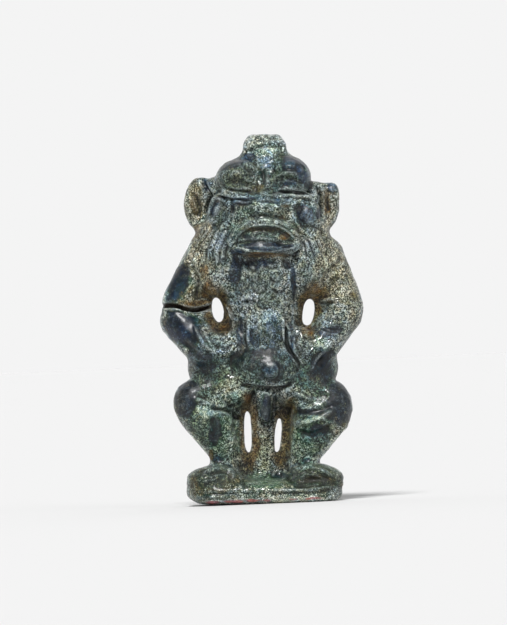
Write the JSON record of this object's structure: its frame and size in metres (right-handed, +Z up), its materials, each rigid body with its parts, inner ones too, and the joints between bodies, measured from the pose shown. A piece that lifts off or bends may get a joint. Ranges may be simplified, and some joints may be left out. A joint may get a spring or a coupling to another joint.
{
  "type": "figurine amulet",
  "caption": "Squat, bow-legged Bes figure with hands on hips, on a thin rounded plinth, with a pierced tube on his head for a cord.",
  "frame": {"origin": "middle of the bounding box, on the flat underside of the plinth", "axes": "+Z up through the head, figure faces -Y, its own left arm is on the +X side"},
  "size_m": [0.021, 0.0096, 0.0379],
  "materials": {
    "weathered_glaze": "semi-gloss blue-green glaze, pitted and speckled, brown dirt in the hollows"
  },
  "bodies": {
    "root": {"bes_figure": "weathered_glaze"}
  },
  "joints": []
}
